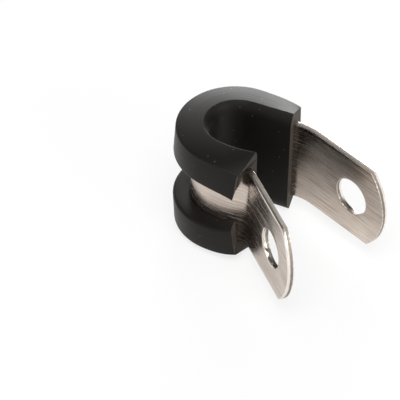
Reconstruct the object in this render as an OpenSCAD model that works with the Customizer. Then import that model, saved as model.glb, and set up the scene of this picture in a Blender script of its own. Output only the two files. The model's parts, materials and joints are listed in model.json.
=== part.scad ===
// P clip: one strip folded into a loop with two drilled tabs, and a rubber channel wrapped round the loop.
// All sizes are in millimetres and degrees. The loop's axis is Z, through the middle of the strip's width.
// The base tab's flat runs along +X with its outer face towards +Y. The origin is the middle of the loop.

/* [Strip] */
// Width of the strip
band_w = 15; // [12:0.5:20]
// Thickness of the strip
band_t = 1; // [0.8:0.1:1.5]

/* [Loop] */
// Radius of the lined bore, with the clip open as supplied
bore_r = 4.5; // [4:0.1:9]
// How far the strip turns round the bore
loop_angle = 168; // [155:1:175]
// Radius of the slack stretch that follows the loop, at the middle of the strip
throat_r = 16.5; // [12:0.5:25]
// How far the strip turns in the slack stretch
throat_angle = 19; // [12:1:28]
// Length of the straight leg between the base bend and the loop
leg_l = 7.8; // [6:0.1:12]

/* [Base tab] */
// Length of the flat, from the tip to the base bend
base_tab_l = 15.7; // [14:0.1:24]
// Turn of the base bend
base_bend = 22.5; // [15:0.5:30]
// Radius of the base bend, at the middle of the strip
base_bend_r = 8.5; // [4:0.5:12]

/* [Top tab] */
// Length of the flat, from the tip to the top bend
top_tab_l = 15.7; // [14:0.1:24]
// Turn of the top bend, which folds the tab away from the bore
top_bend = 51; // [45:1:65]
// Radius of the top bend, at the middle of the strip
top_bend_r = 2.8; // [1.2:0.1:4]

/* [Tab ends] */
// How far the rounded end stands out past its corners
tab_crown = 3.1; // [1.5:0.1:5]
// Diameter of the fixing holes
hole_d = 6.4; // [4.3:0.1:7]
// Distance from the tip of a tab to the middle of its hole
hole_setback = 7; // [6:0.1:8]

/* [Liner section] */
// Thickness of the liner between the strip and the bore
bore_wall = 1.7; // [1.2:0.1:2.5]
// Thickness of the lips over the strip's outer face, at their tips
lip_t = 2.7; // [1.5:0.1:3]
// Thickness of the lips at the outer shoulders
shoulder_t = 2.4; // [1.2:0.1:2.6]
// Width of the bare strip between the two lips
lip_gap = 7.6; // [4:0.2:9]
// How far the outer shoulders stand out past the strip's edges
shoulder_w = 1.8; // [0.6:0.1:2.2]
// How far the widest ridges stand out past the strip's edges
side_w = 2.6; // [2:0.1:3.5]
// Height of the widest ridges above the bore face
ridge_h = 1.1; // [0.6:0.1:1.6]
// Radius of the rounded corners between the bore face and the ridges
bore_corner_r = 3.2; // [2:0.1:5]
// Radius of the rounded lip tips
lip_round = 0.5; // [0.2:0.1:0.8]

/* [Liner ends] */
// How far the outer shoulders stand out past the strip's edges at the liner's ends
end_shoulder_w = 0.85; // [0.5:0.05:1.6]
// How far the widest ridges stand out past the strip's edges at the liner's ends
end_side_w = 2.45; // [1.8:0.05:3.5]
// Angle at which the sides narrow towards the ends
end_taper = 11; // [6:1:20]
// Lean of the liner's end face at the base tab
base_cut_lean = 5; // [0:1:12]
// Lean of the liner's end face at the top tab
top_cut_lean = 19; // [0:1:24]
// How far the liner turns on past the start of the top bend
top_overrun = 4; // [0:0.5:5]
// How far the lips stop short of the sides at the top bend, along the strip
lip_fall = 1.6; // [1.3:0.1:2.5]
// How far the cut through the lips goes into the sides, past the strip's edges
lip_cut_w = 0.2; // [0.1:0.05:0.4]
// How far the lips' cut leans out over the top bend
lip_cut_lean = 7; // [0:1:15]

/* [Liner fit] */
// Clearance between the strip and the channel that holds it
seat_gap = 0.03; // [0.02:0.01:0.1]
// Bare strip between the base bend and the liner's end
liner_setback = 0.8; // [0.4:0.1:2]

/* [Hidden] */
$fn = 96;
// Radius of the loop at the middle of the strip
loop_r = bore_r + bore_wall + seat_gap + band_t / 2;
// Radius of the arc through a tab end's corners and tip
tab_end_r = (pow(band_w / 2, 2) + pow(tab_crown, 2)) / (2 * tab_crown);
// Heights over the middle of the strip: the seat, the bore face, the ridges, the shoulders, the lip tips
seat_n = band_t / 2 + seat_gap;
bore_n = -seat_n - bore_wall;
ridge_n = bore_n + ridge_h;
shoulder_n = seat_n + shoulder_t;
lip_n = seat_n + lip_t;
// Half widths of the section: the seat, the shoulders, the ridges, the gap between the lips, and at the ends
seat_y = band_w / 2 + seat_gap;
shoulder_y = band_w / 2 + shoulder_w;
ridge_y = band_w / 2 + side_w;
lip_y = lip_gap / 2;
end_shoulder_y = band_w / 2 + end_shoulder_w;
end_ridge_y = band_w / 2 + end_side_w;
// How fast the slanting sides spread towards the bore
side_slope = (ridge_y - shoulder_y) / (shoulder_n - ridge_n);
// Slant of the sides at the ends
end_slant = atan((end_ridge_y - end_shoulder_y) / (shoulder_n - ridge_n));
// Middle of the arc that rounds a bore corner: it touches the bore face and passes through the ridge
corner_n = bore_n + bore_corner_r;
corner_y = ridge_y - sqrt(pow(bore_corner_r, 2) - pow(corner_n - ridge_n, 2));
// Seen from the loop's start: the angles at which the loop and the throat end, and the bends' middles
loop_end = loop_angle - 90;
throat_end = loop_end + throat_angle;
throat_c = polar([0, loop_r], loop_r - throat_r, loop_end);
top_bend_c = polar(throat_c, throat_r + top_bend_r, throat_end);
// Where the liner ends, and the turn that its section runs on for the leaning end face to be cut from
liner_end = throat_end + top_overrun;
end_spare = 8;
// Size of the blocks that trim the liner, larger than its whole section
tool_l = 4 * ridge_y;

// ---- Places along the strip. In each, X runs along the strip from the base tab, -Y is its outer side ----

// A number kept to six figures
function six_figures(v) =
    v == 0 ? 0 : let (units = pow(10, 5 - floor(log(abs(v))))) round(v * units) / units;

// The angle and the length of a turn's sine and cosine, when they are kept to six figures
function kept_angle(a) = atan2(six_figures(sin(a)), six_figures(cos(a)));
function kept_length(a) = norm([six_figures(cos(a)), six_figures(sin(a))]);

// Turns about Z in three steps whose errors cancel, so that end faces meet exactly
module turn(a) {
    first_steps = [1 : 89];
    errors = [for (step = first_steps) abs(kept_length(step) * kept_length(a - step) - 1)];
    first = 1 + search(min(errors), errors)[0];
    rotate([0, 0, first])
        rotate([0, 0, a - first])
            rotate([0, 0, a - kept_angle(first) - kept_angle(a - first)])
                children();
}

// Moves in two steps, first to whole microns and then by the rest, so that end faces meet exactly
module shift(v) {
    whole = [for (c = v) round(c * 1000) / 1000];
    translate(whole)
        translate(v - whole)
            children();
}

// Point at a distance and an angle from another
function polar(from, r, a) = from + r * [cos(a), sin(a)];

// Start of the loop
module at_loop() {
    rotate([0, 0, 180 + base_bend])
        translate([0, -loop_r])
            children();
}

// Flat of the base tab, from its tip
module at_base_tab() {
    at_loop()
        translate([-leg_l, base_bend_r])
            turn(-base_bend)
                translate([-base_tab_l, -base_bend_r])
                    children();
}

// Flat of the top tab, from the top bend
module at_top_tab() {
    at_loop()
        shift(top_bend_c)
            turn(loop_angle + throat_angle - top_bend)
                translate([0, top_bend_r])
                    children();
}

// ---- Stretches of a section, whose X is the height over the strip and whose Y is across its width ----

// A straight stretch along X
module run(l) {
    translate([l, 0, 0])
        rotate([90, 0, -90])
            linear_extrude(l)
                children();
}

// A bend round a middle, with the strip's outer side away from it
module bend(c, r, start, a) {
    shift(c)
        rotate_extrude(angle = a, start = start)
            translate([r, 0])
                children();
}

// ---- Strip ----

module strip_section() {
    square([band_t, band_w], center = true);
}

// Flat tab with its tip at the origin, its hole, and its root at X = l
module tab(l) {
    rotate([90, 0, 0])
        linear_extrude(band_t, center = true)
            difference() {
                intersection() {
                    translate([0, -band_w / 2])
                        square([l, band_w]);
                    union() {
                        translate([tab_end_r, 0])
                            circle(tab_end_r);
                        translate([tab_crown, -band_w])
                            square([l, 2 * band_w]);
                    }
                }
                translate([hole_setback, 0])
                    circle(d = hole_d);
            }
}

module band() {
    color("#b9b4ac") {
        at_base_tab()
            tab(base_tab_l);
        at_loop() {
            bend([-leg_l, base_bend_r], base_bend_r, -90 - base_bend, base_bend)
                strip_section();
            translate([-leg_l, 0])
                run(leg_l)
                    strip_section();
            bend([0, loop_r], loop_r, -90, loop_angle)
                strip_section();
            bend(throat_c, throat_r, loop_end, throat_angle)
                strip_section();
            bend(top_bend_c, top_bend_r, throat_end + 180 - top_bend, top_bend)
                strip_section();
        }
        at_top_tab()
            translate([top_tab_l, 0])
                rotate([0, 0, 180])
                    tab(top_tab_l);
    }
}

// ---- Liner ----

// What rounds the bore corner on one side of the section
module bore_corner_cut(side) {
    difference() {
        translate([corner_n - tool_l / 2, side * (corner_y + tool_l / 2)])
            square(tool_l, center = true);
        translate([corner_n, side * corner_y])
            circle(bore_corner_r);
    }
}

// What rounds the outer edge of one lip tip
module lip_round_cut(side) {
    difference() {
        translate([lip_n, side * lip_y])
            square(2 * lip_round, center = true);
        translate([lip_n - lip_round, side * (lip_y + lip_round)])
            circle(lip_round);
    }
}

// Corners of one side of the channel's section, from the bore face round the lip to the seat
function liner_side(side) = [
    [bore_n, side * (ridge_y + side_slope * ridge_h)],
    [shoulder_n, side * shoulder_y],
    [lip_n, side * (lip_y + lip_round)],
    [lip_n, side * lip_y],
    [seat_n, side * lip_y],
    [seat_n, side * seat_y],
    [-seat_n, side * seat_y]
];

module liner_section() {
    upper = liner_side(1);
    lower = liner_side(-1);
    difference() {
        polygon(concat(upper, [for (i = [len(lower) - 1 : -1 : 0]) lower[i]]));
        for (side = [-1, 1]) {
            bore_corner_cut(side);
            lip_round_cut(side);
        }
    }
}

// Block that cuts an end off: it fills X > 0 behind a face that leans back at the strip's outer side
module end_cut(lean) {
    rotate([0, 0, -lean])
        translate([0, -tool_l / 2, -tool_l / 2])
            cube(tool_l);
}

// Block that narrows an end's upper side, less and less with the distance from the end
module side_cut() {
    translate([0, -ridge_n, end_ridge_y])
        rotate([end_slant, 0, 0])
            rotate([0, end_taper, 0])
                translate([-tool_l / 2, -tool_l / 2, 0])
                    cube(tool_l);
}

// Block that cuts the lips back between the sides, where the strip bends out
module lip_cut() {
    half_w = band_w / 2 + lip_cut_w;
    translate([-lip_fall, 0, 0])
        rotate([0, 0, lip_cut_lean])
            translate([0, -tool_l, -half_w])
                cube([tool_l, tool_l, 2 * half_w]);
}

// All that trims an end, seen with the rest of the liner at X < 0
module end_trim(lean) {
    end_cut(lean);
    side_cut();
    mirror([0, 0, 1])
        side_cut();
}

module liner() {
    color("#2b2a28")
        at_loop()
            difference() {
                union() {
                    translate([-leg_l, 0])
                        run(leg_l)
                            liner_section();
                    bend([0, loop_r], loop_r, -90, loop_angle)
                        liner_section();
                    bend(throat_c, throat_r, loop_end, liner_end - loop_end + end_spare)
                        liner_section();
                }
                translate([liner_setback - leg_l, 0])
                    mirror([1, 0, 0])
                        end_trim(base_cut_lean);
                translate(polar(throat_c, throat_r, liner_end))
                    rotate([0, 0, liner_end + 90]) {
                        end_trim(top_cut_lean);
                        lip_cut();
                    }
            }
}

band();
liner();
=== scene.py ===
"""A rubber-lined p clip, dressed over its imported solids.

The strip is drawn as the flat blank that is cut from sheet, and the lining as the straight channel that is
cut from an extruded length. One Geometry Nodes tree then folds both of them along the same path.
"""
import json
import logging
import math
from dataclasses import dataclass, field
from enum import Enum, IntEnum
from typing import Any

import bmesh
import bpy
from mathutils import Matrix, Vector
from mathutils.geometry import tessellate_polygon


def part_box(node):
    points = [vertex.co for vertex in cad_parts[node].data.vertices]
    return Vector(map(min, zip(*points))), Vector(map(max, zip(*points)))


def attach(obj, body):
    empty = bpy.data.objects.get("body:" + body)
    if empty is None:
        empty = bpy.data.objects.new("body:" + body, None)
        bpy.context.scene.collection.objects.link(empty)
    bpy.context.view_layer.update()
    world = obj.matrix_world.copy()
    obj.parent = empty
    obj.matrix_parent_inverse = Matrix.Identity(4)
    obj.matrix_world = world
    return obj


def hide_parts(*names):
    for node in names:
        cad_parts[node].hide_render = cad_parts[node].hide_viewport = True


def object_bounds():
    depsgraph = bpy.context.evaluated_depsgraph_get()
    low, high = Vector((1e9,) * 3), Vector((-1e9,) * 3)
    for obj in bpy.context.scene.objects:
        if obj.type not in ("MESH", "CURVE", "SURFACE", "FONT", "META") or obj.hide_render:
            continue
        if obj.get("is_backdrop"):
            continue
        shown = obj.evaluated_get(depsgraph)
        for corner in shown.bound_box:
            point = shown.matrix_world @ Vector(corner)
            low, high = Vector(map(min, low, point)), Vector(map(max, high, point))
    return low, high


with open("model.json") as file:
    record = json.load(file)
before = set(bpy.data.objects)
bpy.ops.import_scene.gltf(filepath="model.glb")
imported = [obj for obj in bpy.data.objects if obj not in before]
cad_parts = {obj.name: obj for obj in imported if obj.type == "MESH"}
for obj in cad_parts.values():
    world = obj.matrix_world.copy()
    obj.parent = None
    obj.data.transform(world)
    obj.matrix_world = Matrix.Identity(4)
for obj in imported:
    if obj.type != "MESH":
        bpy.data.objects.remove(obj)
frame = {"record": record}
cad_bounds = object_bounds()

logging.basicConfig(level=logging.INFO, format="%(message)s")
log = logging.getLogger("p_clip")

MM = 0.001
Point = tuple[float, float]
Tree = bpy.types.NodeTree
Socket = bpy.types.NodeSocket
UP = Vector((0, 0, 1))

# Sizes that the strip and its lining share, in millimetres
STRIP_T = 1.0
BORE_WALL = 1.7
SEAT_GAP = 0.03


class Mark(Enum):
    """Names of the values that the pieces carry for their materials."""

    BLANK = "blank"
    CUT = "cut"
    GRAIN = "grain"


class FoldInput(Enum):
    """Inputs of the folding tree, by their names."""

    PATH = "Path"
    MATERIAL = "Material"
    UNEVENNESS = "Unevenness"
    WAVE = "Wave length"
    SEED = "Seed"


class Tab(Enum):
    """The strip's two ends."""

    BASE = "base"
    TOP = "top"


class Stretch(IntEnum):
    """The stretches of the strip's path, in order."""

    BASE_TAB = 0
    BASE_BEND = 1
    LEG = 2
    LOOP = 3
    THROAT = 4
    TOP_BEND = 5
    TOP_TAB = 6


class Mix(IntEnum):
    """Sockets of the Mix node, which go by number because it has several of each name."""

    FACTOR = 0
    FIRST_VALUE = 2
    SECOND_VALUE = 3
    FIRST_COLOUR = 6
    SECOND_COLOUR = 7


class Mixed(IntEnum):
    """Results of the Mix node."""

    VALUE = 0
    COLOUR = 2


# ---- Small helpers ----


def linear(hex_colour: str) -> tuple[float, float, float, float]:
    """Turn an sRGB colour into linear values.

    Args:
        hex_colour: Six hex digits after a hash.

    Returns:
        Red, green, blue and an alpha of one.
    """
    values = [int(hex_colour[i : i + 2], 16) / 255 for i in (1, 3, 5)]
    red, green, blue = (v / 12.92 if v <= 0.04045 else ((v + 0.055) / 1.055) ** 2.4 for v in values)
    return red, green, blue, 1.0


def spaced(first: float, last: float, steps: int) -> list[float]:
    """Spread values evenly from first to last, both of them included."""
    return [first + (last - first) * i / steps for i in range(steps + 1)]


def towards(azimuth: float, elevation: float) -> Vector:
    """Give the direction from the clip to a place round it and above it, in degrees from the front."""
    turn, rise = math.radians(azimuth), math.radians(elevation)
    return Vector((math.sin(turn) * math.cos(rise), -math.cos(turn) * math.cos(rise), math.sin(rise)))


def add_node(
    tree: Tree, kind: str, inputs: dict[str | int, Any] | None = None, **settings: Any
) -> bpy.types.Node:
    """Add a node with its settings and links.

    Args:
        tree: Tree that gets the node.
        kind: Blender's name for the node's type.
        inputs: What goes into its sockets, by name or number: another node's output, or a plain value.
        **settings: The node's own properties.

    Returns:
        The new node.
    """
    node = tree.nodes.new(kind)
    for name, value in settings.items():
        setattr(node, name, value)
    for key, value in (inputs or {}).items():
        if isinstance(value, Socket):
            tree.links.new(value, node.inputs[key])
        else:
            node.inputs[key].default_value = value
    return node


def emptied(owner: bpy.types.Material | bpy.types.World) -> Tree:
    """Empty a new material's or room's node tree.

    Args:
        owner: The material or the room.

    Returns:
        Its tree, with nothing in it.
    """
    owner.use_nodes = True
    owner.node_tree.nodes.clear()
    return owner.node_tree


# ---- Finishes ----


@dataclass(frozen=True)
class Lines:
    """Noise drawn out into lines along the strip, with the noise values that become zero and one."""

    length_mm: float
    width_mm: float
    low: float
    high: float

    def build(self, tree: Tree, blank: Socket) -> Socket:
        """Add the lines' nodes.

        Args:
            tree: Tree that gets the nodes.
            blank: Place on the flat blank, in millimetres.

        Returns:
            The lines' value, from zero to one.
        """
        shrink = (1 / self.length_mm, 1 / self.width_mm, 1 / self.width_mm)
        place = add_node(tree, "ShaderNodeVectorMath", {0: blank, 1: shrink}, operation="MULTIPLY")
        noise = add_node(
            tree, "ShaderNodeTexNoise", {"Vector": place.outputs[0], "Scale": 1.0, "Detail": 2.0}
        )
        lines = add_node(
            tree, "ShaderNodeMapRange",
            {"Value": noise.outputs["Fac"], "From Min": self.low, "From Max": self.high},
        )
        return lines.outputs["Result"]


@dataclass(frozen=True)
class BrushedStainless:
    """Cold-rolled 304 stainless, brushed along the strip, with sheared edges.

    The brushing gives it fine lines and a soft sheen that is drawn out across them. The sheared edges are
    bright where the blade slid along them, and their colour there is also a painted highlight, lighter than
    steel is, for the glare on the cut ends. They are dull and grainy where the metal broke.
    """

    name: str = "stainless_304_brushed"
    colour: str = "#cdc0b5"
    streak_colour: str = "#97897e"
    # Partly the bright burnished band, partly a painted highlight for the glare on the cut ends
    scratch_colour: str = "#efe7de"
    burnished_and_highlight_colour: str = "#efe8df"
    torn_colour: str = "#8f867d"
    roughness: float = 0.16
    streak_roughness: float = 0.26
    scratch_roughness: float = 0.4
    torn_roughness: float = 0.42
    anisotropy: float = 0.6
    # The highlight is drawn out across the grain, a quarter turn from it
    grain_turn: float = 0.25
    # Wider than the real brushing, which is too fine to show
    streaks: Lines = Lines(6.0, 0.15, 0.35, 0.65)
    scratches: Lines = Lines(8.0, 0.12, 0.6, 0.7)
    clouds: Lines = Lines(7.0, 3.0, 0.2, 0.7)
    crumbs: Lines = Lines(0.3, 0.3, 0.35, 0.65)
    bump: float = 0.1
    bump_mm: float = 0.05
    # Heights over the strip's middle between which the sheared edge is torn
    torn_mm: Point = (-0.38, 0.1)
    torn_wander_mm: float = 0.12
    torn_border_mm: float = 0.04

    def build(self) -> bpy.types.Material:
        """Build the material.

        Returns:
            The steel, which reads the marks that the strip carries.
        """
        material = bpy.data.materials.new(self.name)
        tree = emptied(material)
        blank = add_node(tree, "ShaderNodeAttribute", attribute_name=Mark.BLANK.value).outputs["Vector"]
        cut = add_node(tree, "ShaderNodeAttribute", attribute_name=Mark.CUT.value).outputs["Fac"]
        grain = add_node(tree, "ShaderNodeAttribute", attribute_name=Mark.GRAIN.value).outputs["Vector"]
        streaks, scratches, clouds, crumbs = (
            lines.build(tree, blank) for lines in (self.streaks, self.scratches, self.clouds, self.crumbs)
        )
        dulled = add_node(tree, "ShaderNodeMath", {0: streaks, 1: clouds}, operation="MULTIPLY").outputs[0]
        torn = self.torn(tree, blank, crumbs)
        shader = add_node(
            tree, "ShaderNodeBsdfPrincipled",
            {
                "Base Color": self.colours(tree, cut, dulled, scratches, torn), "Metallic": 1.0,
                "Roughness": self.roughnesses(tree, cut, dulled, scratches, torn),
                "Anisotropic": self.anisotropy, "Anisotropic Rotation": self.grain_turn, "Tangent": grain,
                "Normal": self.relief(tree, cut, (streaks, scratches), (crumbs, torn)),
            },
        )
        add_node(tree, "ShaderNodeOutputMaterial", {"Surface": shader.outputs[0]})
        return material

    def torn(self, tree: Tree, blank: Socket, crumbs: Socket) -> Socket:
        """Find the torn part of the sheared edges, whose border wanders a little.

        Args:
            tree: Tree that gets the nodes.
            blank: Place on the flat blank, in millimetres.
            crumbs: Uneven value that makes the border wander.

        Returns:
            One where the edge is torn, zero where it is burnished.
        """
        low, high = self.torn_mm
        middle, half = (low + high) / 2, (high - low) / 2
        height = add_node(tree, "ShaderNodeSeparateXYZ", {0: blank}).outputs["Y"]
        wandering = add_node(
            tree, "ShaderNodeMath", {0: crumbs, 1: self.torn_wander_mm, 2: height}, operation="MULTIPLY_ADD"
        ).outputs[0]
        away = add_node(tree, "ShaderNodeMath", {0: wandering, 1: middle}, operation="SUBTRACT").outputs[0]
        away = add_node(tree, "ShaderNodeMath", {0: away}, operation="ABSOLUTE").outputs[0]
        border = self.torn_border_mm
        torn = add_node(
            tree, "ShaderNodeMapRange",
            {"Value": away, "From Min": half + border, "From Max": half - border},
        )
        return torn.outputs["Result"]

    def colours(
        self, tree: Tree, cut: Socket, dulled: Socket, scratches: Socket, torn: Socket
    ) -> Socket:
        """Mix the steel's colours.

        Args:
            tree: Tree that gets the nodes.
            cut: Where shears made the surface.
            dulled: Where the brushing is dull.
            scratches: Where the scratches are.
            torn: Where the sheared edge is torn.

        Returns:
            The colour.
        """
        # The edge's burnished colour is partly a painted highlight, for the glare on the cut ends
        face, edge = linear(self.colour), linear(self.burnished_and_highlight_colour)
        for share, layer in ((dulled, self.streak_colour), (scratches, self.scratch_colour)):
            face = add_node(
                tree, "ShaderNodeMix",
                {Mix.FACTOR: share, Mix.FIRST_COLOUR: face, Mix.SECOND_COLOUR: linear(layer)},
                data_type="RGBA",
            ).outputs[Mixed.COLOUR]
        edge = add_node(
            tree, "ShaderNodeMix",
            {Mix.FACTOR: torn, Mix.FIRST_COLOUR: edge, Mix.SECOND_COLOUR: linear(self.torn_colour)},
            data_type="RGBA",
        ).outputs[Mixed.COLOUR]
        return add_node(
            tree, "ShaderNodeMix", {Mix.FACTOR: cut, Mix.FIRST_COLOUR: face, Mix.SECOND_COLOUR: edge},
            data_type="RGBA",
        ).outputs[Mixed.COLOUR]

    def roughnesses(
        self, tree: Tree, cut: Socket, dulled: Socket, scratches: Socket, torn: Socket
    ) -> Socket:
        """Mix the steel's roughness, from the same places as its colours.

        Args:
            tree: Tree that gets the nodes.
            cut: Where shears made the surface.
            dulled: Where the brushing is dull.
            scratches: Where the scratches are.
            torn: Where the sheared edge is torn.

        Returns:
            The roughness.
        """
        brushed = add_node(
            tree, "ShaderNodeMapRange",
            {"Value": dulled, "To Min": self.roughness, "To Max": self.streak_roughness},
        ).outputs["Result"]
        face = add_node(
            tree, "ShaderNodeMix",
            {Mix.FACTOR: scratches, Mix.FIRST_VALUE: brushed, Mix.SECOND_VALUE: self.scratch_roughness},
            data_type="FLOAT",
        ).outputs[Mixed.VALUE]
        edge = add_node(
            tree, "ShaderNodeMapRange",
            {"Value": torn, "To Min": self.roughness, "To Max": self.torn_roughness},
        ).outputs["Result"]
        return add_node(
            tree, "ShaderNodeMix", {Mix.FACTOR: cut, Mix.FIRST_VALUE: face, Mix.SECOND_VALUE: edge},
            data_type="FLOAT",
        ).outputs[Mixed.VALUE]

    def relief(
        self, tree: Tree, cut: Socket, face: tuple[Socket, Socket], edge: tuple[Socket, Socket]
    ) -> Socket:
        """Raise the brushing's streaks, sink the scratches, and roughen the torn edge.

        Args:
            tree: Tree that gets the nodes.
            cut: Where shears made the surface.
            face: The streaks and the scratches.
            edge: The crumbs and where the edge is torn.

        Returns:
            The bent normal.
        """
        brushed = add_node(tree, "ShaderNodeMath", {0: face[0], 1: face[1]}, operation="SUBTRACT")
        broken = add_node(tree, "ShaderNodeMath", {0: edge[0], 1: edge[1]}, operation="MULTIPLY")
        height = add_node(
            tree, "ShaderNodeMix",
            {Mix.FACTOR: cut, Mix.FIRST_VALUE: brushed.outputs[0], Mix.SECOND_VALUE: broken.outputs[0]},
            data_type="FLOAT",
        ).outputs[Mixed.VALUE]
        bump = add_node(
            tree, "ShaderNodeBump", {"Strength": self.bump, "Distance": self.bump_mm * MM, "Height": height}
        )
        return bump.outputs["Normal"]


@dataclass(frozen=True)
class ExtrudedRubber:
    """EPDM rubber, extruded and cut with a knife.

    It is matt black, with faint lines along it from the die and a little dust that it draws. The cut faces
    are greyer and rougher.
    """

    name: str = "epdm_rubber_extruded"
    colour: str = "#0f0d0c"
    bloom_colour: str = "#1a1715"
    cut_colour: str = "#383430"
    dust_colour: str = "#8d8781"
    roughness: float = 0.44
    cut_roughness: float = 0.62
    # A third of the usual reflection: the matt skin takes up the rest
    specular: float = 0.15
    # A thin bloom of wax and chalk, which shows as a pale brown veil where the skin is seen edge-on
    veil_colour: str = "#c4b5a6"
    veil: float = 0.12
    veil_roughness: float = 0.35
    cloud_mm: float = 5.0
    lines: Lines = Lines(14.0, 0.45, 0.3, 0.7)
    pores: Lines = Lines(0.2, 0.2, 0.2, 0.8)
    pore_depth: float = 0.5
    knife_mm: float = 0.25
    # Spacing of the specks, and the part of it that a speck takes
    dust_mm: float = 1.1
    dust_share: float = 0.06
    bump: float = 0.15
    bump_mm: float = 0.06

    def build(self) -> bpy.types.Material:
        """Build the material.

        Returns:
            The rubber, which reads the marks that the lining carries.
        """
        material = bpy.data.materials.new(self.name)
        tree = emptied(material)
        blank = add_node(tree, "ShaderNodeAttribute", attribute_name=Mark.BLANK.value).outputs["Vector"]
        cut = add_node(tree, "ShaderNodeAttribute", attribute_name=Mark.CUT.value).outputs["Fac"]
        rough = add_node(
            tree, "ShaderNodeMapRange",
            {"Value": cut, "To Min": self.roughness, "To Max": self.cut_roughness},
        ).outputs["Result"]
        shader = add_node(
            tree, "ShaderNodeBsdfPrincipled",
            {
                "Base Color": self.colours(tree, blank, cut), "Roughness": rough,
                "Specular IOR Level": self.specular, "Normal": self.relief(tree, blank, cut),
                "Sheen Weight": self.veil, "Sheen Roughness": self.veil_roughness,
                "Sheen Tint": linear(self.veil_colour),
            },
        )
        add_node(tree, "ShaderNodeOutputMaterial", {"Surface": shader.outputs[0]})
        return material

    def colours(self, tree: Tree, blank: Socket, cut: Socket) -> Socket:
        """Mix the rubber's colours: its clouded skin, its cut faces and the dust on both.

        Args:
            tree: Tree that gets the nodes.
            blank: Place on the flat blank, in millimetres.
            cut: Where a knife made the surface.

        Returns:
            The colour.
        """
        cloud = add_node(
            tree, "ShaderNodeTexNoise", {"Vector": blank, "Scale": 1 / self.cloud_mm, "Detail": 3.0}
        ).outputs["Fac"]
        dust = add_node(
            tree, "ShaderNodeTexVoronoi", {"Vector": blank, "Scale": 1 / self.dust_mm, "Randomness": 1.0}
        ).outputs["Distance"]
        specks = add_node(
            tree, "ShaderNodeMapRange",
            {"Value": dust, "From Min": self.dust_share, "From Max": self.dust_share / 2},
        ).outputs["Result"]
        colour = linear(self.colour)
        layers = ((cloud, self.bloom_colour), (cut, self.cut_colour), (specks, self.dust_colour))
        for share, layer in layers:
            colour = add_node(
                tree, "ShaderNodeMix",
                {Mix.FACTOR: share, Mix.FIRST_COLOUR: colour, Mix.SECOND_COLOUR: linear(layer)},
                data_type="RGBA",
            ).outputs[Mixed.COLOUR]
        return colour

    def relief(self, tree: Tree, blank: Socket, cut: Socket) -> Socket:
        """Raise the die's lines and the pores on the skin, and the knife's grain on the cut faces.

        Args:
            tree: Tree that gets the nodes.
            blank: Place on the flat blank, in millimetres.
            cut: Where a knife made the surface.

        Returns:
            The bent normal.
        """
        lines, pores = self.lines.build(tree, blank), self.pores.build(tree, blank)
        skin = add_node(
            tree, "ShaderNodeMath", {0: pores, 1: self.pore_depth, 2: lines}, operation="MULTIPLY_ADD"
        ).outputs[0]
        knife = add_node(
            tree, "ShaderNodeTexNoise", {"Vector": blank, "Scale": 1 / self.knife_mm, "Detail": 2.0}
        ).outputs["Fac"]
        height = add_node(
            tree, "ShaderNodeMix", {Mix.FACTOR: cut, Mix.FIRST_VALUE: skin, Mix.SECOND_VALUE: knife},
            data_type="FLOAT",
        ).outputs[Mixed.VALUE]
        bump = add_node(
            tree, "ShaderNodeBump", {"Strength": self.bump, "Distance": self.bump_mm * MM, "Height": height}
        )
        return bump.outputs["Normal"]


@dataclass(frozen=True)
class MattWhite:
    """Matt white board. Seen directly it glows a little, so that it is white and its shadow stays light."""

    name: str = "matt_white_board"
    colour: str = "#f0f0f0"
    seen_colour: str = "#7e7e7e"
    glow: float = 0.76

    def build(self) -> bpy.types.Material:
        """Build the material.

        Returns:
            The white, whose glow only the camera sees.
        """
        material = bpy.data.materials.new(self.name)
        tree = emptied(material)
        seen = add_node(tree, "ShaderNodeLightPath").outputs["Is Camera Ray"]
        colour = add_node(
            tree, "ShaderNodeMix",
            {
                Mix.FACTOR: seen, Mix.FIRST_COLOUR: linear(self.colour),
                Mix.SECOND_COLOUR: linear(self.seen_colour),
            },
            data_type="RGBA",
        ).outputs[Mixed.COLOUR]
        strength = add_node(tree, "ShaderNodeMath", {0: seen, 1: self.glow}, operation="MULTIPLY")
        board = add_node(tree, "ShaderNodeBsdfDiffuse", {"Color": colour}).outputs[0]
        glow = add_node(tree, "ShaderNodeEmission", {"Strength": strength.outputs[0]}).outputs[0]
        both = add_node(tree, "ShaderNodeAddShader", {0: board, 1: glow}).outputs[0]
        add_node(tree, "ShaderNodeOutputMaterial", {"Surface": both})
        return material


# ---- The route that both pieces follow ----


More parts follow.
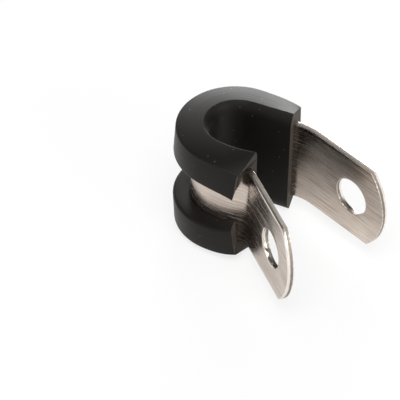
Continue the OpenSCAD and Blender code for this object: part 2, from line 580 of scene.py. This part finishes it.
@dataclass(frozen=True)
class Route:
    """A line of straight and bent stretches, in millimetres, with the middle of the loop at the origin."""

    name: str
    # Length of each stretch, and its turn for each millimetre
    stretches: tuple[Point, ...]
    point_gap: float = 0.02
    # A blank isn't divided within this distance of its ends, nor closer together than the least step
    end_room: float = 0.05
    least_step: float = 0.01

    def length(self, before: Stretch | None = None) -> float:
        """Add up the lengths of the stretches before one of them, or of all of them."""
        return sum(length for length, _ in self.stretches[:before])

    def points(self) -> list[Vector]:
        """Walk along the route in short chords.

        Returns:
            The ends of the chords, measured from the middle of the loop.
        """
        place, heading = Vector((0, 0, 0)), math.pi
        points, middle = [place], place
        for number, (length, bend) in enumerate(self.stretches):
            if number == Stretch.LOOP:
                middle = place + Vector((-math.sin(heading), math.cos(heading), 0)) / bend
            steps = math.ceil(length / self.point_gap)
            turn = bend * length / steps
            chord = 2 * math.sin(turn / 2) / bend if bend else length / steps
            for _ in range(steps):
                heading += turn / 2
                place = place + Vector((math.cos(heading), math.sin(heading), 0)) * chord
                heading += turn / 2
                points.append(place)
        return [point - middle for point in points]

    def curve(self) -> bpy.types.Object:
        """Draw the route.

        Returns:
            A curve of straight pieces, in metres.
        """
        data = bpy.data.curves.new(self.name, "CURVE")
        data.dimensions = "3D"
        points = self.points()
        spline = data.splines.new("POLY")
        spline.points.add(len(points) - 1)
        spline.points.foreach_set("co", [c for point in points for c in (*(point * MM), 1.0)])
        route = bpy.data.objects.new(self.name, data)
        bpy.context.scene.collection.objects.link(route)
        return route

    def stations(
        self, first: float, last: float, bend_step: float = 2.5, flat_step: float = 1.0
    ) -> list[float]:
        """List the places where a blank is divided: close together in the bends, wide apart on the flats.

        Args:
            first: Where the divided part starts.
            last: Where it ends.
            bend_step: Degrees that a bend turns between two places.
            flat_step: Distance between two places on a flat.

        Returns:
            Distances along the route, from first to last.
        """
        stations, start = [first], 0.0
        low, high = first + self.end_room, last - self.end_room
        for length, bend in self.stretches:
            steps = math.ceil(math.degrees(length * abs(bend)) / bend_step if bend else length / flat_step)
            inside = [s for s in spaced(start, start + length, steps) if low < s < high]
            stations += [s for s in inside if s > stations[-1] + self.least_step]
            start += length
        return stations + [last]


@dataclass(frozen=True)
class ClipShape:
    """Lengths, turns and radii of the strip's middle line, from base tab to top tab, in mm and degrees."""

    loop_r: float
    base_tab_l: float = 15.69
    base_bend: float = 22.5
    base_bend_r: float = 8.5
    leg_l: float = 7.8
    loop_angle: float = 168.0
    throat_angle: float = 19.0
    throat_r: float = 16.5
    top_bend: float = 51.0
    top_bend_r: float = 2.8
    top_tab_l: float = 15.7
    # How far the lining's route goes on past the throat, in degrees of the same bend
    spare: float = 11.0

    @staticmethod
    def bend(turn: float, radius: float) -> Point:
        """Give a bend's length and its turn for each millimetre, in radians."""
        return math.radians(turn) * abs(radius), 1 / radius

    def lined(self) -> list[Point]:
        """List the stretches up to the throat."""
        return [
            (self.base_tab_l, 0.0), self.bend(self.base_bend, self.base_bend_r), (self.leg_l, 0.0),
            self.bend(self.loop_angle, self.loop_r),
        ]

    def strip_route(self) -> Route:
        """Put the strip's whole route together.

        Returns:
            The route, from the base tab's tip to the top tab's.
        """
        throat = self.bend(self.throat_angle, self.throat_r)
        top = [self.bend(self.top_bend, -self.top_bend_r), (self.top_tab_l, 0.0)]
        return Route("strip_route", tuple(self.lined() + [throat] + top))

    def lining_route(self) -> Route:
        """Give the lining's route, which goes on in the throat's bend where the strip turns away."""
        throat = self.bend(self.throat_angle + self.spare, self.throat_r)
        return Route("lining_route", tuple(self.lined() + [throat]))


# ---- Blanks ----


@dataclass
class Blank:
    """A piece before it is folded. X runs along the path, Y is the height over it, and Z runs across."""

    name: str
    points: list[tuple[float, float, float]] = field(default_factory=list)
    faces: list[tuple[int, ...]] = field(default_factory=list)
    cuts: list[bool] = field(default_factory=list)
    # Degrees between two faces from which their edge is drawn sharp
    sharp_angle: float = 32.0

    def add_points(self, points: list[tuple[float, float, float]]) -> list[int]:
        """Add points.

        Args:
            points: Places along the path, over it and across it, in millimetres.

        Returns:
            The points' numbers.
        """
        first = len(self.points)
        self.points += points
        return list(range(first, len(self.points)))

    def add_face(self, corners: tuple[int, ...], cut: bool = False) -> None:
        """Add one face, and say whether a blade or shears made it."""
        self.faces.append(corners)
        self.cuts.append(cut)

    def join(self, first: list[int], second: list[int], closed: bool = True, cut: bool = False) -> None:
        """Join two rows of points with four-sided faces.

        Args:
            first: Numbers of one row's points.
            second: Numbers of the other row's points, just as many.
            closed: Whether the rows run round and meet themselves.
            cut: Whether a blade or shears made the faces.
        """
        count = len(first)
        for i in range(count if closed else count - 1):
            j = (i + 1) % count
            self.add_face((first[i], first[j], second[j], second[i]), cut)

    def build(self) -> bpy.types.Object:
        """Make the blank's object, with its marks.

        Returns:
            An object in metres, closed and with its faces outwards.
        """
        mesh = bpy.data.meshes.new(self.name)
        mesh.from_pydata([[c * MM for c in point] for point in self.points], [], self.faces)
        place = mesh.attributes.new(Mark.BLANK.value, "FLOAT_VECTOR", "POINT")
        place.data.foreach_set("vector", [c for point in self.points for c in point])
        cut = mesh.attributes.new(Mark.CUT.value, "FLOAT", "FACE")
        cut.data.foreach_set("value", [float(c) for c in self.cuts])
        shape = bmesh.new()
        shape.from_mesh(mesh)
        bmesh.ops.recalc_face_normals(shape, faces=shape.faces)
        shape.to_mesh(mesh)
        shape.free()
        mesh.shade_smooth()
        mesh.set_sharp_from_angle(angle=math.radians(self.sharp_angle))
        blank = bpy.data.objects.new(self.name, mesh)
        bpy.context.scene.collection.objects.link(blank)
        return blank


@dataclass(frozen=True)
class Unevenness:
    """How far a folded piece strays from its exact form, over what length, and the seed of its waves."""

    depth_mm: float
    wave_mm: float
    seed: int


@dataclass
class Sheet:
    """One face of a flat blank: places along and across it, its faces, and its rims."""

    points: list[Point]
    faces: list[tuple[int, ...]]
    rims: list[list[int]]


@dataclass
class Strip:
    """The clip's stainless strip: one blank with two rounded, drilled tabs."""

    route: Route
    width: float
    hole_r: float
    thickness: float = STRIP_T
    tab_crown: float = 3.1
    hole_setback: float = 7.0
    tab_root: float = 14.0
    # Radii that shearing leaves at the outer and the inner face
    roll_over: float = 0.14
    burr: float = 0.07
    lanes: int = 12
    side_steps: int = 14
    tip_steps: int = 36
    hole_rows: int = 8
    edge_steps: int = 4
    unevenness: Unevenness = Unevenness(depth_mm=0.02, wave_mm=5.0, seed=3)

    def tab_rim(self, inset: float) -> list[Point]:
        """Draw the rim of a tab, from its root round its tip, measured from the tip.

        Args:
            inset: How far the rim lies inside the blank's true edge.

        Returns:
            Distance from the tip and place across the strip, with the root's points first.
        """
        half = self.width / 2 - inset
        true_r = (self.width**2 / 4 + self.tab_crown**2) / (2 * self.tab_crown)
        end_r = true_r - inset
        spread = math.asin(half / end_r)
        corner = true_r - end_r * math.cos(spread)
        root = [(self.tab_root, w) for w in spaced(-half, half, 2 * self.lanes)]
        side = [(x, half) for x in spaced(self.tab_root, corner, self.side_steps)[1:-1]]
        turns = spaced(spread, -spread, self.tip_steps)
        tip = [(true_r - end_r * math.cos(a), end_r * math.sin(a)) for a in turns]
        return root + side + tip + [(x, -w) for x, w in reversed(side)]

    def tab_rows(self, inset: float) -> list[list[Point]]:
        """Draw the rows of points that lead from a tab's hole out to its rim.

        Args:
            inset: How far the hole's edge and the rim lie inside the metal.

        Returns:
            The rows, the hole's first.
        """
        rim = self.tab_rim(inset)
        hole_r = self.hole_r + inset
        hole = []
        for x, w in rim:
            angle = math.atan2(w, x - self.hole_setback)
            hole.append((self.hole_setback + hole_r * math.cos(angle), hole_r * math.sin(angle)))
        return [
            [(h[0] + (r[0] - h[0]) * share, h[1] + (r[1] - h[1]) * share) for h, r in zip(hole, rim)]
            for share in spaced(0, 1, self.hole_rows)
        ]

    def sheet(self, inset: float) -> Sheet:
        """Lay out one face of the blank.

        Args:
            inset: How far its rims lie inside the blank's true edges.

        Returns:
            The face, with its outer rim first and then the rims of the base tab's and the top tab's hole.
        """
        total = self.route.length()
        points: list[Point] = []
        faces: list[tuple[int, ...]] = []
        holes, rims = [], []
        for tab in Tab:
            rows = self.tab_rows(inset)
            numbers = []
            for row in rows:
                numbers.append(list(range(len(points), len(points) + len(row))))
                points += [(x, w) if tab is Tab.BASE else (total - x, w) for x, w in row]
            for inner, outer in zip(numbers, numbers[1:]):
                faces += self.quads(inner + inner[:1], outer + outer[:1])
            holes.append(numbers[0])
            rims.append(numbers[-1])
        lanes = 2 * self.lanes + 1
        half = self.width / 2 - inset
        rows = [rims[0][:lanes]]
        for s in self.route.stations(self.tab_root, total - self.tab_root)[1:-1]:
            rows.append(list(range(len(points), len(points) + lanes)))
            points += [(s, w) for w in spaced(-half, half, lanes - 1)]
        rows.append(rims[1][:lanes])
        for row, following in zip(rows, rows[1:]):
            faces += self.quads(row, following)
        between = rows[1:-1]
        base, top = rims
        outer = base[lanes - 1 :] + base[:1] + [row[0] for row in between]
        outer += top[:1] + top[: lanes - 2 : -1] + [row[-1] for row in reversed(between)]
        return Sheet(points, faces, [outer, *holes])

    @staticmethod
    def quads(row: list[int], following: list[int]) -> list[tuple[int, ...]]:
        """List the four-sided faces between two rows."""
        return [(row[i], row[i + 1], following[i + 1], following[i]) for i in range(len(row) - 1)]

    def edge_rows(self) -> list[Point]:
        """Round the sheared edge from the outer face to the inner one.

        Returns:
            Inset and height over the strip's middle of each row.
        """
        half = self.thickness / 2
        turns = [math.radians(a) for a in spaced(0, 90, self.edge_steps)]
        rounding = [(1 - math.sin(a), 1 - math.cos(a)) for a in turns]
        outer = [(self.roll_over * inset, half - self.roll_over * fall) for inset, fall in rounding]
        inner = [(self.burr * inset, self.burr * fall - half) for inset, fall in reversed(rounding)]
        return outer + inner

    def build(self) -> bpy.types.Object:
        """Make the flat blank of the strip.

        Returns:
            The blank's object.
        """
        blank = Blank("folded_strip")
        edge = self.edge_rows()
        sheets = [self.sheet(inset) for inset, _ in edge]
        loops = []
        for sheet, (_, height) in zip(sheets, edge):
            place = [(s, height, w) for s, w in sheet.points]
            if abs(height) < self.thickness / 2:
                loops.append([blank.add_points([place[i] for i in rim]) for rim in sheet.rims])
                continue
            numbers = blank.add_points(place)
            for face in sheet.faces:
                blank.add_face(tuple(numbers[i] for i in face))
            loops.append([[numbers[i] for i in rim] for rim in sheet.rims])
        for upper, lower in zip(loops, loops[1:]):
            for first, second in zip(upper, lower):
                blank.join(first, second, cut=True)
        return blank.build()


@dataclass
class Lining:
    """The rubber channel that holds the strip round the loop."""

    route: Route
    band_w: float
    width: float
    band_t: float = STRIP_T
    bore_wall: float = BORE_WALL
    lip_t: float = 2.7
    shoulder_t: float = 2.4
    # Half way round the loop: half the gap between the lips, and how far the shoulders stand out
    lip_gap: float = 4.25
    shoulder_w: float = 1.9
    # How far the lips and the shoulders draw in at the cut ends, and over what length
    lip_draw: float = 1.2
    shoulder_draw: float = 1.05
    draw_l: float = 2.6
    # Height of the widest ridges above the bore face, and how far they draw in, from one end to the other
    ridge_h: Point = (1.25, 0.5)
    ridge_draw: float = 0.25
    bore_corner_r: float = 3.2
    lip_round: float = 0.5
    shoulder_round: float = 0.25
    ridge_round: float = 0.12
    seat_round: float = 0.05
    arc_steps: int = 8
    round_steps: int = 5
    seat_gap: float = SEAT_GAP
    # How far from the base bend the lining starts, and how far past the loop it ends
    setback: float = 0.8
    overrun: float = 6.62
    base_lean: float = 5.0
    top_lean: float = 19.0
    # How far the lips' top ends fall back: at the tips, and along their roots
    tip_fall: float = 0.9
    root_fall: float = 1.2
    rows: int = 200
    unevenness: Unevenness = Unevenness(depth_mm=0.04, wave_mm=4.0, seed=11)

    def corners(self, share: float, hold: float) -> list[tuple[float, float, float]]:
        """List the corners of half the section, from the middle of the bore round the lip to the seat.

        Args:
            share: Place along the lining, from 0 to 1.
            hold: How far the lips are drawn in, from 0 half way round the loop to 1 at a cut end.

        Returns:
            Height over the strip's middle, place across it, and rounding radius of each corner.
        """
        seat = self.band_t / 2 + self.seat_gap
        bore = -seat - self.bore_wall
        first_h, last_h = self.ridge_h
        ridge_h = first_h + (last_h - first_h) * share
        side = self.width / 2 - self.ridge_draw * share
        turn = math.acos(1 - ridge_h / self.bore_corner_r)
        centre = side - self.bore_corner_r * math.sin(turn)
        arc = [
            (bore + self.bore_corner_r * (1 - math.cos(a)), centre + self.bore_corner_r * math.sin(a), 0.0)
            for a in spaced(0, turn, self.arc_steps)
        ]
        lip = self.lip_gap - self.lip_draw * hold
        shoulder = self.band_w / 2 + self.shoulder_w - self.shoulder_draw * hold
        inside = self.band_w / 2 + self.seat_gap
        return [
            (bore, 0.0, 0.0), *arc[:-1], (bore + ridge_h, side, self.ridge_round),
            (seat + self.shoulder_t, shoulder, self.shoulder_round),
            (seat + self.lip_t, lip, self.lip_round), (seat, lip, self.seat_round),
            (seat, inside, 0.0), (-seat, inside, 0.0), (-seat, 0.0, 0.0),
        ]

    def section(self, share: float, hold: float) -> list[Point]:
        """Draw the whole section.

        Args:
            share: Place along the lining, from 0 to 1.
            hold: How far the lips are drawn in, from 0 to 1.

        Returns:
            Height over the strip's middle and place across it, once round.
        """
        half: list[Point] = []
        corners = self.corners(share, hold)
        for i, (n, w, radius) in enumerate(corners):
            here = Vector((n, w))
            if not radius:
                half.append((n, w))
                continue
            before = (Vector(corners[i - 1][:2]) - here).normalized()
            after = (Vector(corners[i + 1][:2]) - here).normalized()
            opening = before.angle(after)
            centre = here + (before + after).normalized() * radius / math.sin(opening / 2)
            reach = radius / math.tan(opening / 2)
            first, last = here + before * reach - centre, here + after * reach - centre
            turns = spaced(0, 1, self.round_steps)
            half += [tuple(centre + first.slerp(last, turn) * radius) for turn in turns]
        return half + [(n, -w) for n, w in reversed(half[1:-1])]

    def fall(self, n: float, w: float) -> float:
        """Say how far a point of the top end's face falls back, because the bent lips pull in.

        Args:
            n: The point's height over the strip's middle.
            w: Its place across the strip.

        Returns:
            The distance along the path.
        """
        edge = self.band_w / 2 + self.shoulder_w - self.shoulder_draw
        if n < 0 or abs(w) > edge:
            return 0.0
        seat = self.band_t / 2 + self.seat_gap
        height = (n - seat) / self.lip_t
        return self.tip_fall * (1 - abs(w) / edge) + self.root_fall * (1 - height)

    def build(self) -> bpy.types.Object:
        """Make the straight channel, cut at its two leaning ends.

        Returns:
            The channel's object.
        """
        blank = Blank("rubber_lining")
        start = self.route.length(Stretch.LEG) + self.setback
        end = self.route.length(Stretch.THROAT) + self.overrun
        base_lean, top_lean = (math.tan(math.radians(a)) for a in (self.base_lean, self.top_lean))
        rings = []
        for share in spaced(0, 1, self.rows):
            from_end = (end - start) * min(share, 1 - share)
            ring = []
            for n, w in self.section(share, math.exp(-from_end / self.draw_l)):
                first = start + base_lean * n
                last = end - top_lean * n - self.fall(n, w)
                ring.append((first + (last - first) * share, n, w))
            rings.append(blank.add_points(ring))
        for ring, following in zip(rings, rings[1:]):
            blank.join(ring, following)
        for ring, share in ((rings[0], 0.0), (rings[-1], 1.0)):
            outline = [Vector((n, w, 0)) for n, w in self.section(share, 1.0)]
            for corners in tessellate_polygon([outline]):
                blank.add_face(tuple(ring[i] for i in corners), cut=True)
        return blank.build()


# ---- Folding ----


@dataclass
class FoldingTree:
    """Geometry Nodes tree that folds a blank along a path."""

    name: str = "fold_along_path"

    def build(self) -> Tree:
        """Build the tree.

        Returns:
            A tree that puts each point at its height over the path and its place across it.
        """
        tree = bpy.data.node_groups.new(self.name, "GeometryNodeTree")
        sockets = {
            "Geometry": "NodeSocketGeometry", FoldInput.PATH.value: "NodeSocketObject",
            FoldInput.MATERIAL.value: "NodeSocketMaterial", FoldInput.UNEVENNESS.value: "NodeSocketFloat",
            FoldInput.WAVE.value: "NodeSocketFloat", FoldInput.SEED.value: "NodeSocketInt",
        }
        for name, kind in sockets.items():
            tree.interface.new_socket(name, in_out="INPUT", socket_type=kind)
        tree.interface.new_socket("Geometry", in_out="OUTPUT", socket_type="NodeSocketGeometry")
        given = add_node(tree, "NodeGroupInput").outputs
        path = add_node(
            tree, "GeometryNodeObjectInfo", {"Object": given[FoldInput.PATH.value]}
        ).outputs["Geometry"]
        position = add_node(tree, "GeometryNodeInputPosition").outputs[0]
        along, height, across = add_node(tree, "ShaderNodeSeparateXYZ", {0: position}).outputs
        sample = add_node(
            tree, "GeometryNodeSampleCurve", {"Curves": path, "Length": along}, mode="LENGTH"
        ).outputs
        outwards = add_node(
            tree, "ShaderNodeVectorMath", {0: sample["Tangent"], 1: UP}, operation="CROSS_PRODUCT"
        ).outputs[0]
        raised = add_node(
            tree, "ShaderNodeVectorMath", {0: outwards, 1: height, 2: sample["Position"]},
            operation="MULTIPLY_ADD",
        ).outputs[0]
        place = add_node(
            tree, "ShaderNodeVectorMath", {0: UP, 1: across, 2: raised}, operation="MULTIPLY_ADD"
        ).outputs[0]
        scale = add_node(
            tree, "ShaderNodeMath", {0: 1.0, 1: given[FoldInput.WAVE.value]}, operation="DIVIDE"
        ).outputs[0]
        noise = add_node(
            tree, "ShaderNodeTexNoise",
            {"Vector": position, "W": given[FoldInput.SEED.value], "Scale": scale, "Detail": 1.0},
            noise_dimensions="4D",
        ).outputs["Color"]
        sway = add_node(
            tree, "ShaderNodeVectorMath", {0: noise, 1: (0.5, 0.5, 0.5)}, operation="SUBTRACT"
        ).outputs[0]
        place = add_node(
            tree, "ShaderNodeVectorMath", {0: sway, 1: given[FoldInput.UNEVENNESS.value], 2: place},
            operation="MULTIPLY_ADD",
        ).outputs[0]
        folded = add_node(
            tree, "GeometryNodeSetPosition", {"Geometry": given["Geometry"], "Position": place}
        )
        marked = add_node(
            tree, "GeometryNodeStoreNamedAttribute",
            {"Geometry": folded.outputs[0], "Name": Mark.GRAIN.value, "Value": sample["Tangent"]},
            data_type="FLOAT_VECTOR", domain="POINT",
        ).outputs[0]
        realized = add_node(tree, "GeometryNodeRealizeInstances", {"Geometry": marked}).outputs[0]
        dressed = add_node(
            tree, "GeometryNodeSetMaterial",
            {"Geometry": realized, "Material": given[FoldInput.MATERIAL.value]},
        ).outputs[0]
        add_node(tree, "NodeGroupOutput", {"Geometry": dressed})
        return tree

    def fold(
        self, tree: Tree, blank: bpy.types.Object, path: bpy.types.Object, material: bpy.types.Material,
        unevenness: Unevenness,
    ) -> bpy.types.Object:
        """Fold a blank and keep the result as a plain mesh.

        Args:
            tree: The folding tree.
            blank: Object to fold, which keeps its name and its place at the origin.
            path: Curve that it is folded along.
            material: Its finish.
            unevenness: How far it strays from its exact form.

        Returns:
            The same object, with the folded mesh.
        """
        values = {
            FoldInput.PATH: path, FoldInput.MATERIAL: material,
            FoldInput.UNEVENNESS: unevenness.depth_mm * MM, FoldInput.WAVE: unevenness.wave_mm * MM,
            FoldInput.SEED: unevenness.seed,
        }
        modifier = blank.modifiers.new(self.name, "NODES")
        modifier.node_group = tree
        names = {item.name: item.identifier for item in tree.interface.items_tree if item.in_out == "INPUT"}
        for key, value in values.items():
            modifier[names[key.value]] = value
        evaluated = blank.evaluated_get(bpy.context.evaluated_depsgraph_get())
        mesh = bpy.data.meshes.new_from_object(evaluated)
        blank.modifiers.remove(modifier)
        blank.data = mesh
        mesh.name = blank.name
        return blank


# ---- Stage ----


@dataclass(frozen=True)
class SoftLamp:
    """One round soft box, aimed at the clip."""

    name: str
    # Degrees round from the front and up from the floor, as for the camera
    azimuth: float
    elevation: float
    radiance: float
    size: float
    distance: float = 0.6

    def build(self) -> None:
        """Hang the lamp."""
        data = bpy.data.lights.new(self.name, "AREA")
        data.shape = "DISK"
        data.size = self.size
        # A flat lamp's power is its radiance times its area times pi
        area = math.pi * self.size**2 / 4
        data.energy = self.radiance * area * math.pi
        lamp = bpy.data.objects.new(self.name, data)
        direction = towards(self.azimuth, self.elevation)
        lamp.location = direction * self.distance
        lamp.rotation_euler = direction.to_track_quat("Z", "Y").to_euler()
        bpy.context.scene.collection.objects.link(lamp)


LAMPS = (
    SoftLamp("key_box", azimuth=40, elevation=68, radiance=5.0, size=0.5),
    SoftLamp("right_box", azimuth=95, elevation=22, radiance=3.0, size=0.35),
    SoftLamp("back_box", azimuth=-138, elevation=9, radiance=11.0, size=0.35),
)


@dataclass
class Studio:
    """A white board under the clip, a room that is white all round and dark overhead, and soft lamps."""

    floor_z: float
    floor_size: float = 4.0
    horizon: str = "#ffffff"
    zenith: str = "#202020"
    # Heights on a unit ball up to which the room is white, and from which it is dark
    white_to: float = 0.3
    dark_from: float = 0.75

    def build(self) -> None:
        """Set up the floor, the room's light and the lamps."""
        half = self.floor_size / 2
        mesh = bpy.data.meshes.new("floor")
        corners = [(-half, -half), (half, -half), (half, half), (-half, half)]
        mesh.from_pydata([(x, y, self.floor_z) for x, y in corners], [], [(0, 1, 2, 3)])
        mesh.materials.append(MattWhite().build())
        floor = bpy.data.objects.new("floor", mesh)
        bpy.context.scene.collection.objects.link(floor)
        floor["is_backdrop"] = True
        self.build_room()
        for lamp in LAMPS:
            lamp.build()

    def build_room(self) -> None:
        """Light the room white up to a little over the horizon and darker overhead."""
        world = bpy.data.worlds.new("studio_room")
        tree = emptied(world)
        direction = add_node(tree, "ShaderNodeTexCoord").outputs["Generated"]
        height = add_node(tree, "ShaderNodeSeparateXYZ", {0: direction}).outputs["Z"]
        share = add_node(
            tree, "ShaderNodeMapRange",
            {"Value": height, "From Min": self.white_to, "From Max": self.dark_from},
        ).outputs["Result"]
        colour = add_node(
            tree, "ShaderNodeMix",
            {
                Mix.FACTOR: share, Mix.FIRST_COLOUR: linear(self.horizon),
                Mix.SECOND_COLOUR: linear(self.zenith),
            },
            data_type="RGBA",
        ).outputs[Mixed.COLOUR]
        sky = add_node(tree, "ShaderNodeBackground", {"Color": colour, "Strength": 1.0}).outputs[0]
        add_node(tree, "ShaderNodeOutputWorld", {"Surface": sky})
        bpy.context.scene.world = world


@dataclass(frozen=True)
class Viewpoint:
    """The camera: a long lens that looks down on the clip from its open side."""

    azimuth: float = 46.6
    elevation: float = 42.6
    roll: float = 1.3
    distance: float = 0.4757
    target_mm: tuple[float, float, float] = (-1.44, -6.28, -3.55)
    lens: float = 270.0
    sensor: float = 36.0
    nearest: float = 0.01

    def build(self) -> None:
        """Make the camera and look through it."""
        roll = math.radians(self.roll)
        back = towards(self.azimuth, self.elevation)
        level = UP.cross(back).normalized()
        right = level * math.cos(roll) + back.cross(level) * math.sin(roll)
        axes = Matrix((right, back.cross(right), back)).transposed()
        data = bpy.data.cameras.new("camera")
        data.lens = self.lens
        data.sensor_width = self.sensor
        data.clip_start = self.nearest
        camera = bpy.data.objects.new("camera", data)
        place = Vector(self.target_mm) * MM + back * self.distance
        camera.matrix_world = Matrix.Translation(place) @ axes.to_4x4()
        bpy.context.scene.collection.objects.link(camera)
        bpy.context.scene.camera = camera


# ---- The clip ----


def mount_radius(name: str) -> float:
    """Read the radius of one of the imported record's mounts, in millimetres."""
    return next(m for m in frame["record"]["mounts"] if m["name"] == name)["dims"]["r_mm"]


def size_across(node: str) -> float:
    """Measure a CAD node along Z, in millimetres."""
    low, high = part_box(node)
    return (high.z - low.z) / MM


def dress(piece: bpy.types.Object, node: str) -> None:
    """Put a finished piece in the place of a CAD node.

    Args:
        piece: The piece, at the origin.
        node: The node that it stands for.
    """
    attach(piece, "root")
    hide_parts(node)
    log.info("%s: %d faces, in the place of %s", piece.name, len(piece.data.polygons), node)


def main() -> None:
    """Build the clip's two pieces, the stage and the camera."""
    bpy.context.scene.view_settings.view_transform = "Standard"
    shape = ClipShape(mount_radius("loop") + BORE_WALL + SEAT_GAP + STRIP_T / 2)
    strip_route, lining_route = shape.strip_route(), shape.lining_route()
    strip_line, lining_line = strip_route.curve(), lining_route.curve()
    folding = FoldingTree()
    tree = folding.build()
    band_w = size_across("band")
    strip = Strip(strip_route, band_w, mount_radius("base_tab_hole"))
    piece = folding.fold(tree, strip.build(), strip_line, BrushedStainless().build(), strip.unevenness)
    dress(piece, "band")
    lining = Lining(lining_route, band_w, size_across("liner"))
    piece = folding.fold(tree, lining.build(), lining_line, ExtrudedRubber().build(), lining.unevenness)
    dress(piece, "liner")
    for line in (strip_line, lining_line):
        bpy.data.objects.remove(line)
    Studio(cad_bounds[0].z).build()
    Viewpoint().build()
    bounds = {"cad": cad_bounds, "visual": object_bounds()}
    sizes = {name: [list(corner) for corner in corners] for name, corners in bounds.items()}


if __name__ == "__main__":
    main()
